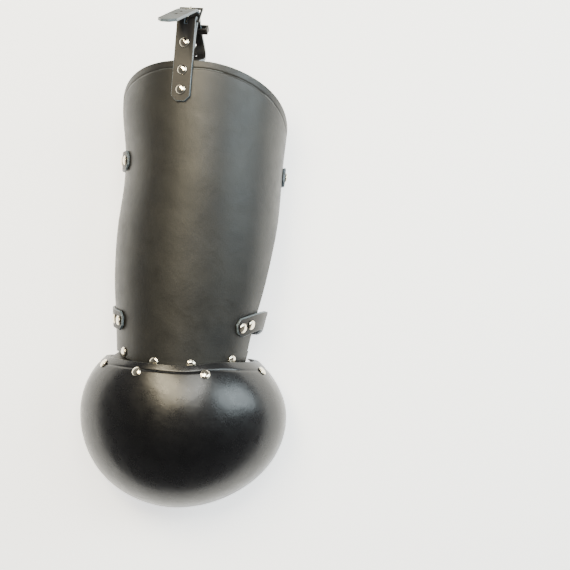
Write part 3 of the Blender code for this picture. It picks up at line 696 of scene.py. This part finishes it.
def rivet_at(place, grip):
    """Note where a rivet's cap and back cap sit, grip apart through the leather."""
    rivet_fronts.append(place @ Matrix.Translation((0, 0, SEAT)))
    rivet_backs.append(place @ Matrix.Translation((0, 0, -grip - SEAT)) @ Matrix.Rotation(math.pi, 4, "X"))


for level, side, start, share, end_share, bow in LEG_STRAPS:
    start_y, end_y = (HIP_Y - part * PLATE_LENGTH for part in (share, end_share))
    run, run_normals = leg_strap_line(start, start_y, end_y, bow)
    leg_strap = strap(f"{level}_{side}_leg_strap", run, run_normals, False, Matrix())
    settle(leg_strap, "strap_leather", f"{level}_{side}_strap")
    for distance in STRAP_RIVETS:
        rivet_at(face_place(run, run_normals, distance), STRAP_THICK + STRAP_SEAT + PLATE_WALL + SEAT)


# Strap sleeves
# A plain flat sleeve of nickelled steel sheet holds each pair of strap ends behind the leg. Its
# edges are rounded by tumbling.

SLEEVE_ROUND = 0.0005
BLOCK_SEGMENTS = 3
BLOCK_SMOOTH = 30.0
HAZE_SPREAD = (0.6, 1.5)


def nickel_plate(name, colour, roughness):
    """Nickel over steel: a warm white mirror with a fine uneven haze, so caps glint."""
    finish, tree = new_finish(name)
    place = add(tree, "ShaderNodeTexCoord", {}).outputs["Object"]
    haze = noise_node(tree, place, 0.0025, 5.0)
    gloss = range_node(tree, haze.outputs["Fac"], *(roughness * part for part in HAZE_SPREAD))
    look = {"Base Color": linear(colour), "Metallic": 1.0}
    finish_with(tree, look, {"Roughness": gloss.outputs["Result"]})
    return finish


nickel = nickel_plate("nickel_plate", "#ece2cb", 0.08)


def box_shape(name, place, low, high, finishes=()):
    """A plain box between two corners, in a place's own axes."""
    bm = bmesh.new()
    whole = place @ Matrix.Translation((high + low) / 2) @ Matrix.Diagonal((*(high - low), 1))
    bmesh.ops.create_cube(bm, size=1.0, matrix=whole)
    return put(name, bm, finishes, BLOCK_SMOOTH)


def tube_block(name, place, low, high, open_low, open_high, finish, radius):
    """A block with a hole cut right through it, its edges rounded."""
    body = box_shape(name, place, low, high, (finish,))
    hole = box_shape("opening_cut", place, open_low, open_high, (finish,))
    cut = body.modifiers.new("opening", "BOOLEAN")
    cut.object = hole
    body = rounded(made(body), radius, BLOCK_SEGMENTS)
    bpy.data.objects.remove(hole, do_unlink=True)
    return body


for level, share in sorted({(row[0], row[4]) for row in LEG_STRAPS}):
    middle = Vector((0, HIP_Y - share * PLATE_LENGTH, CLASP_WALL + SEAT + STRAP_THICK / 2))
    opening = Vector((CLASP_LENGTH, STRAP_WIDTH / 2 + SEAT, STRAP_THICK / 2 + SEAT))
    wall = Vector((-CLASP_LENGTH / 2, CLASP_WALL, CLASP_WALL))
    sleeve = tube_block(
        f"{level}_strap_sleeve",
        Matrix.Translation(middle),
        -opening - wall,
        opening + wall,
        -opening,
        opening,
        nickel,
        SLEEVE_ROUND,
    )
    settle(sleeve, "nickel", f"{level}_strap_clasp")


# Hanger tab
# A strap riveted to the front of the plate, folded back round the buckle's lower bar and
# riveted to itself. A slot in the fold lets the prong through.

HANGER_ANGLE = -14.0
HANGER_BELOW = 0.0106
TAB_BELOW = 0.0314
TAB_ROW = 0.0198
FOLD_RIVET = 0.0275
FOLD_BELOW = 0.0095
FOLD_RADIUS = 0.0033
FOLD_GAP = 0.0005
FOLD_STEPS = 14
PINCH_SHARE = 0.39
HEEL_BAR = 0.050
BAR = 0.0022
PRONG_WIDTH = 0.0022
PRONG_RING = 0.0014
BILLET_SEAT = 0.0012
FRAME_REACH = 0.0165
FRAME_TILT = 33.0
hanger = surface_frame(plate_point, HANGER_ANGLE, HIP_Y - HANGER_BELOW)
bar_centre = Vector((0, HEEL_BAR, STRAP_SEAT + STRAP_THICK / 2 - FOLD_RADIUS))
heel = hanger @ Matrix.Translation(bar_centre) @ Matrix.Rotation(math.radians(-FRAME_TILT), 4, "X")


def square_normals(centres):
    """Face normals along a line that bends only about the strap's width."""
    normals = []
    for k in range(len(centres)):
        along = centres[min(k + 1, len(centres) - 1)] - centres[max(k - 1, 0)]
        normals.append(Vector((1, 0, 0)).cross(along).normalized())
    return normals


def tab_line():
    """Middle line of the tab: up its front, round the buckle's lower bar and back behind."""
    front = STRAP_SEAT + STRAP_THICK / 2
    back = front - STRAP_THICK - FOLD_GAP
    line = [Vector((0, -TAB_BELOW, front)), Vector((0, -TAB_BELOW / 2, front)), Vector((0, 0, front))]
    for k in range(FOLD_STEPS + 1):
        turn = math.pi * k / FOLD_STEPS
        reach = FOLD_RADIUS * math.sin(turn)
        line.append(Vector((0, HEEL_BAR + reach, front - FOLD_RADIUS * (1 - math.cos(turn)))))
    pinch = FOLD_RIVET + PINCH_SHARE * (HEEL_BAR - FOLD_RIVET)
    line += [Vector((0, pinch, back)), Vector((0, FOLD_RIVET - FOLD_BELOW, back))]
    return line


prong_eye = BAR / math.sqrt(2) + SEAT
slot_reach = prong_eye + PRONG_RING + SEAT
slot_beyond = slot_reach + FOLD_RADIUS + STRAP_THICK
slot_low = Vector((-PRONG_WIDTH / 2 - SEAT, HEEL_BAR - slot_reach, -slot_beyond))
slot_high = Vector((PRONG_WIDTH / 2 + SEAT, HEEL_BAR + slot_beyond, slot_beyond))
prong_slot = box_shape("slot_cut", hanger, slot_low, slot_high)
tab_run = tab_line()
tab = strap("hanger_tab_strap", tab_run, square_normals(tab_run), True, hanger, (prong_slot,))
settle(tab, "strap_leather", "hanger_tab")
tab_face = STRAP_SEAT + STRAP_THICK
plate_grip = tab_face + PLATE_WALL + BILLET_SEAT + STRAP_THICK + SEAT
fold_grip = 2 * STRAP_THICK + FOLD_GAP + SEAT
for y, grip in ((-TAB_ROW, plate_grip), (0.0, plate_grip), (FOLD_RIVET, fold_grip)):
    rivet_at(hanger @ Matrix.Translation((0, y, tab_face)), grip)


# Hanger billet
# The punched strap that hangs the cuisse from a belt. It is riveted inside the plate, swings
# out behind the tab, comes up through the buckle and stands out to the front.

BILLET_BELOW = 0.028
BILLET_FLAT = 0.010
LOOP_DEPTH = 0.0325
LOOP_SHIFT = 0.0030
TONGUE = 0.055
TONGUE_LEAN = (-0.082, -0.362, 0.930)
PAST_PRONG = 0.00977
HOLE_PITCH = 0.0126
HOLE_RADIUS = 0.00175
HOLE_SIDES = 20
PUNCH_DEPTH = 0.012
HOLES_IN_TONGUE = 3
HOLES_IN_LOOP = 4
WAY_STEPS = 7
TONGUE_STEPS = 8
BILLET_WAY = (
    # along as a share of HEEL_BAR, deep of LOOP_DEPTH, aside of LOOP_SHIFT
    (0.06, 0.17, 0.00),
    (0.18, 0.30, 0.20),
    (0.25, 0.56, 0.60),
    (0.30, 0.81, 1.00),
    (0.40, 0.98, 0.70),
    (0.58, 1.00, 0.00),
    (0.77, 0.85, -0.40),
    (0.95, 0.58, -0.40),
    (1.09, 0.37, -0.20),
    (1.17, 0.21, 0.00),
    (1.205, 0.06, 0.00),
    (1.20, -0.08, 0.00),
)


def smooth_line(points, steps):
    """Points on a smooth curve through the given ones."""
    line = []
    for k in range(len(points) - 1):
        p0, p1, p2, p3 = (points[min(max(n, 0), len(points) - 1)] for n in range(k - 1, k + 3))
        for n in range(steps):
            t = n / steps
            curve = 2 * p1 + (p2 - p0) * t + (2 * p0 - 5 * p1 + 4 * p2 - p3) * t**2
            line.append(0.5 * (curve + (3 * p1 - p0 - 3 * p2 + p3) * t**3))
    line.append(points[-1])
    return line


def billet_line():
    """Middle line of the billet, and its length up to the prong."""
    root = -PLATE_WALL - BILLET_SEAT - STRAP_THICK / 2
    way = [Vector((0, -BILLET_FLAT, root))]
    for along, deep, aside in BILLET_WAY:
        way.append(Vector((LOOP_SHIFT * aside, HEEL_BAR * along, -LOOP_DEPTH * deep)))
    way[1].z = root
    line = [Vector((0, -BILLET_BELOW, root))] + smooth_line(way, WAY_STEPS)
    at_prong = line_lengths(line)[-1] - PAST_PRONG
    lean = Vector(TONGUE_LEAN).normalized()
    crossing = line[-1]
    for k in range(1, TONGUE_STEPS + 1):
        line.append(crossing + lean * (TONGUE * k / TONGUE_STEPS))
    return line, at_prong


def round_punch(places, radius, depth):
    """Hidden round bars that punch the holes."""
    bm = bmesh.new()
    size = {"segments": HOLE_SIDES, "radius1": radius, "radius2": radius, "depth": depth}
    for place in places:
        bmesh.ops.create_cone(bm, cap_ends=True, matrix=place, **size)
    return put("hole_punch", bm, ())


billet_run, at_prong = billet_line()
billet_normals = square_normals(billet_run)
hole_places = []
for k in range(-HOLES_IN_LOOP, HOLES_IN_TONGUE + 1):
    if k != 0:
        hole_places.append(hanger @ face_place(billet_run, billet_normals, at_prong + k * HOLE_PITCH))
prong_low = Vector((-PRONG_WIDTH / 2 - SEAT, -SEAT, BAR / 2))
prong_high = Vector((PRONG_WIDTH / 2 + SEAT, FRAME_REACH + BAR / 2 + SEAT, 2 * BAR))
prong_hole = box_shape("slot_cut", heel, prong_low, prong_high)
punches = (round_punch(hole_places, HOLE_RADIUS, PUNCH_DEPTH), prong_hole)
billet = strap("hanger_billet_strap", billet_run, billet_normals, True, hanger, punches)
settle(billet, "strap_leather", "hanger_billet")


# Buckle and prong
# A small black steel heel-bar buckle leaning back out of the fold, and a bright wire prong
# that turns round the lower bar and rests on the upper one.

PRONG_WIRE = 0.0009
RING_STEPS = 16
RING_TURN = 330.0
RING_END = 90.0
SHANK_SHARES = (0.35, 0.7, 1.0)
WIRE_FINENESS = 4
FRAME_ROUND = 0.0006


def black_enamel(name, dark, worn):
    """Black enamel on steel: smooth and glossy, rubbed through to dull grey in small patches."""
    finish, tree = new_finish(name)
    place = add(tree, "ShaderNodeTexCoord", {}).outputs["Object"]
    wear = noise_node(tree, place, 0.0018, 4.0)
    tint = ramp_node(tree, wear.outputs["Fac"], (0.5, dark), (0.8, worn))
    look = {"Roughness": 0.3, "Coat Weight": 0.3, "Coat Roughness": 0.1}
    finish_with(tree, look, {"Base Color": tint.outputs["Color"]})
    return finish


enamel = black_enamel("black_enamelled_steel", "#0c0d0e", "#3a3c3e")
frame_half = STRAP_WIDTH / 2 + SEAT
buckle = tube_block(
    "hanger_buckle_frame",
    heel,
    Vector((-frame_half - BAR, -BAR / 2, -BAR / 2)),
    Vector((frame_half + BAR, FRAME_REACH + BAR / 2, BAR / 2)),
    Vector((-frame_half, BAR / 2, -BAR)),
    Vector((frame_half, FRAME_REACH - BAR / 2, BAR)),
    enamel,
    FRAME_ROUND,
)
settle(buckle, "black_steel", "hanger_buckle")


def wire(name, points, radius, finish):
    """A round wire through points, closed at its ends."""
    curve = bpy.data.curves.new(name, "CURVE")
    curve.dimensions = "3D"
    curve.bevel_depth = radius
    curve.bevel_resolution = WIRE_FINENESS
    curve.use_fill_caps = True
    spline = curve.splines.new("POLY")
    spline.points.add(len(points) - 1)
    for spot, point in zip(spline.points, points):
        spot.co = (*point, 1.0)
    shape = bpy.data.objects.new(name, curve)
    bpy.context.scene.collection.objects.link(shape)
    mesh = bpy.data.meshes.new_from_object(shape.evaluated_get(bpy.context.evaluated_depsgraph_get()))
    bpy.data.objects.remove(shape, do_unlink=True)
    mesh.materials.append(finish)
    mesh.shade_smooth()
    piece = bpy.data.objects.new(name, mesh)
    bpy.context.scene.collection.objects.link(piece)
    return piece


eye = prong_eye + PRONG_WIRE
turns = [math.radians(RING_END - RING_TURN * k / RING_STEPS) for k in range(RING_STEPS, -1, -1)]
prong_line = [Vector((0, eye * math.cos(turn), eye * math.sin(turn))) for turn in turns]
for share in SHANK_SHARES:
    reach = share * (FRAME_REACH + BAR / 2 - PRONG_WIRE)
    prong_line.append(Vector((0, reach, eye + (BAR / 2 + SEAT + PRONG_WIRE - eye) * share)))
prong = wire("hanger_prong_wire", [heel @ point for point in prong_line], PRONG_WIRE, nickel)
settle(prong, "nickel", "hanger_prong")


# Keeper
# A short loop of thin strap leather, butted and glued, that slides on the billet and stands
# loose on its inner side.

KEEPER_BACK = 0.020
KEEPER_SLACK = 0.005
KEEPER_WIDTH = 0.007
KEEPER_THICK = 0.0018
KEEPER_PLAY = 0.0008
KEEPER_ROUND = 0.0007

centre, normal, along = spot_on_line(billet_run, billet_normals, at_prong - KEEPER_BACK)
loop_place = hanger @ frame_matrix(centre, normal, along)
play = STRAP_THICK / 2 + KEEPER_PLAY
low = Vector((-KEEPER_WIDTH / 2, -frame_half - KEEPER_SLACK, -play))
high = Vector((KEEPER_WIDTH / 2, frame_half, play))
skin = Vector((0, KEEPER_THICK, KEEPER_THICK))
through = Vector((KEEPER_WIDTH, 0, 0))
keeper = tube_block(
    "hanger_keeper_loop",
    loop_place,
    low - skin,
    high + skin,
    low - through,
    high + through,
    strap_grain,
    KEEPER_ROUND,
)
settle(keeper, "strap_leather", "hanger_keeper")


# Rivets
# Double-cap rivets of nickelled steel, 9.8 mm across, pressed through holes in the leather: a
# domed cap with a rolled rim outside and a small flat cap inside.

CAP_RADIUS = 0.0049
CAP_HEIGHT = 0.0020
BACK_RADIUS = 0.0031
BACK_HEIGHT = 0.0009
PLATE_EDGE = 0.0053
CAP_SIDES = 40
CAP_RINGS = 9
ROLLED_RIM = 0.0004
DOME_FOOT = 0.4
RIM_TOP = 0.34
RIM_FOOT = 0.18
CAP_SMOOTH = 60.0
PLATE_RIVET_ANGLES = (-57.0, -21.0, 10.0, 46.5)
KNEE_RIVETS = (
    # angle, share of KNEE_ROW below the rim
    (-65.0, 0.70),
    (-27.7, 1.00),
    (17.4, 1.00),
    (70.5, 0.76),
)

for angle in PLATE_RIVET_ANGLES:
    row_place = surface_frame(plate_point, angle, lower_edge(angle) + PLATE_EDGE)
    rivet_at(row_place, PLATE_WALL + JOINT_WALL + SEAT)
for angle, below in KNEE_RIVETS:
    row_place = surface_frame(knee_point, angle, KNEE_RIM_Y - below * KNEE_ROW)
    rivet_at(row_place, KNEE_WALL + JOINT_WALL + FACET_GAP + 2 * SEAT)


def pressed_cap(name, radius, height):
    """A domed cap turned about Z, with a rolled rim and a closed underside."""
    bm = bmesh.new()
    profile = []
    for k in range(CAP_RINGS + 1):
        turn = math.pi / 2 * k / CAP_RINGS
        rise = DOME_FOOT + (1 - DOME_FOOT) * math.cos(turn)
        profile.append(((radius - ROLLED_RIM) * math.sin(turn), rise * height))
    profile += [(radius, RIM_TOP * height), (radius, RIM_FOOT * height)]
    profile += [(radius - ROLLED_RIM, 0.0), (0.0, 0.0)]
    rings = []
    for reach, z in profile:
        turns = [2 * math.pi * n / CAP_SIDES for n in range(CAP_SIDES)]
        rings.append([bm.verts.new((reach * math.cos(t), reach * math.sin(t), z)) for t in turns])
    for upper, lower in zip(rings, rings[1:]):
        for n in range(CAP_SIDES):
            m = (n + 1) % CAP_SIDES
            bm.faces.new((upper[n], lower[n], lower[m], upper[m]))
    return put(name, bm, (nickel,), CAP_SMOOTH)


def cap_tree():
    """Nodes that set one cap on every point, turned to the point's face direction."""
    tree = bpy.data.node_groups.new("caps on leather", "GeometryNodeTree")
    inputs = (("Geometry", "Geometry"), ("Cap", "Object"), ("Cap size", "Float"), ("Finish", "Material"))
    for name, kind in inputs:
        tree.interface.new_socket(name, in_out="INPUT", socket_type=f"NodeSocket{kind}")
    tree.interface.new_socket("Geometry", in_out="OUTPUT", socket_type="NodeSocketGeometry")
    start = add(tree, "NodeGroupInput", {})
    face = add(tree, "GeometryNodeInputNamedAttribute", {"data_type": "FLOAT_VECTOR", "Name": "face"})
    facing = {"Vector": face.outputs["Attribute"]}
    turn = add(tree, "FunctionNodeAlignRotationToVector", {"axis": "Z"}, facing)
    cap = add(tree, "GeometryNodeObjectInfo", {}, {"Object": start.outputs["Cap"]})
    each = {
        "Points": start.outputs["Geometry"],
        "Instance": cap.outputs["Geometry"],
        "Rotation": turn.outputs["Rotation"],
        "Scale": start.outputs["Cap size"],
    }
    set_on = add(tree, "GeometryNodeInstanceOnPoints", {}, each)
    real = add(tree, "GeometryNodeRealizeInstances", {}, {"Geometry": set_on.outputs["Instances"]})
    coat = {"Geometry": real.outputs["Geometry"], "Material": start.outputs["Finish"]}
    finished = add(tree, "GeometryNodeSetMaterial", {}, coat)
    end = tree.nodes.new("NodeGroupOutput")
    tree.links.new(finished.outputs["Geometry"], end.inputs["Geometry"])
    return tree


def caps_on(name, places, cap, tree):
    """All the caps of one kind as one plain mesh."""
    mesh = bpy.data.meshes.new(name)
    mesh.from_pydata([place.translation for place in places], [], [])
    direction = mesh.attributes.new("face", "FLOAT_VECTOR", "POINT")
    for spot, place in zip(direction.data, places):
        spot.vector = place.col[2].to_3d()
    piece = bpy.data.objects.new(name, mesh)
    bpy.context.scene.collection.objects.link(piece)
    modifier = piece.modifiers.new("caps", "NODES")
    modifier.node_group = tree
    values = {"Cap": cap, "Cap size": 1.0, "Finish": nickel}
    for item in tree.interface.items_tree:
        if item.in_out == "INPUT" and item.name in values:
            modifier[item.identifier] = values[item.name]
    piece = made(piece)
    bpy.data.objects.remove(cap, do_unlink=True)
    piece.data.shade_smooth()
    piece.data.set_sharp_from_angle(angle=math.radians(CAP_SMOOTH))
    return piece


caps = cap_tree()
fronts = caps_on("rivet_caps", rivet_fronts, pressed_cap("cap_shape", CAP_RADIUS, CAP_HEIGHT), caps)
settle(fronts, "nickel", *[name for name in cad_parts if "rivet" in name])
backs = caps_on("rivet_back_caps", rivet_backs, pressed_cap("back_shape", BACK_RADIUS, BACK_HEIGHT), caps)
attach(backs, "root")


# Floor, light and camera
# The part lies on a white sheet that glows from below. Three softboxes above the hip light it,
# a warm one at the left, a white and a cool one at the right, in a room that is dimmer overhead.
# The camera looks straight down on the front of the leg.

FLOOR_HALF = 4.0
GLOW = 1.6
AIM = (0, 0, 0.05)
SOFTBOXES = (
    # name, place, width, length, watts, colour
    ("warm_softbox", (-0.50, 0.60, 1.45), 0.5, 1.0, 48, "#fff0cc"),
    ("middle_softbox", (0.25, 0.62, 1.50), 0.45, 0.9, 24, "#fbfbf4"),
    ("cool_softbox", (1.25, 0.45, 0.95), 0.6, 1.3, 36, "#e2f1f6"),
)
ROOM_WALLS = {"From Min": 0.25, "From Max": 0.95, "To Min": 0.3, "To Max": 0.12}
CAMERA_PLACE = (0.0955, -0.0135, 1.460)
CAMERA_LEAN = 5.2
LENS = 84.2
SENSOR = 36.0

floor_mesh = bpy.data.meshes.new("floor")
floor_corners = [(x * FLOOR_HALF, y * FLOOR_HALF, 0) for x, y in ((-1, -1), (1, -1), (1, 1), (-1, 1))]
floor_mesh.from_pydata(floor_corners, [], [(0, 1, 2, 3)])
paper, paper_tree = new_finish("backlit_white_sheet")
glow = {"Base Color": linear("#f3f3f1"), "Roughness": 0.9}
glow.update({"Emission Color": linear("#ffffff"), "Emission Strength": GLOW})
finish_with(paper_tree, glow, {})
floor_mesh.materials.append(paper)
floor = bpy.data.objects.new("floor", floor_mesh)
bpy.context.scene.collection.objects.link(floor)


def softbox(name, place, width, length, power, colour):
    """An area light at a place, aimed at the middle of the part."""
    lamp = bpy.data.lights.new(name, "AREA")
    lamp.shape = "RECTANGLE"
    lamp.size = width
    lamp.size_y = length
    lamp.energy = power
    lamp.color = linear(colour)[:3]
    holder = bpy.data.objects.new(name, lamp)
    holder.location = place
    holder.rotation_euler = (Vector(AIM) - Vector(place)).to_track_quat("-Z", "Y").to_euler()
    bpy.context.scene.collection.objects.link(holder)


for row in SOFTBOXES:
    softbox(*row)

world = bpy.data.worlds.new("studio")
world.use_nodes = True
sky = world.node_tree
view = add(sky, "ShaderNodeTexCoord", {})
upward = add(sky, "ShaderNodeSeparateXYZ", {}, {"Vector": view.outputs["Object"]})
dimmed = {**ROOM_WALLS, "interpolation_type": "SMOOTHSTEP"}
walls = add(sky, "ShaderNodeMapRange", dimmed, {"Value": upward.outputs["Z"]})
sky.nodes["Background"].inputs["Color"].default_value = linear("#f4f5f6")
sky.links.new(walls.outputs["Result"], sky.nodes["Background"].inputs["Strength"])
bpy.context.scene.world = world

camera_data = bpy.data.cameras.new("camera")
camera_data.lens = LENS
camera_data.sensor_width = SENSOR
camera = bpy.data.objects.new("camera", camera_data)
camera.location = CAMERA_PLACE
camera.rotation_euler = (0, 0, math.radians(CAMERA_LEAN))
bpy.context.scene.collection.objects.link(camera)
bpy.context.scene.camera = camera
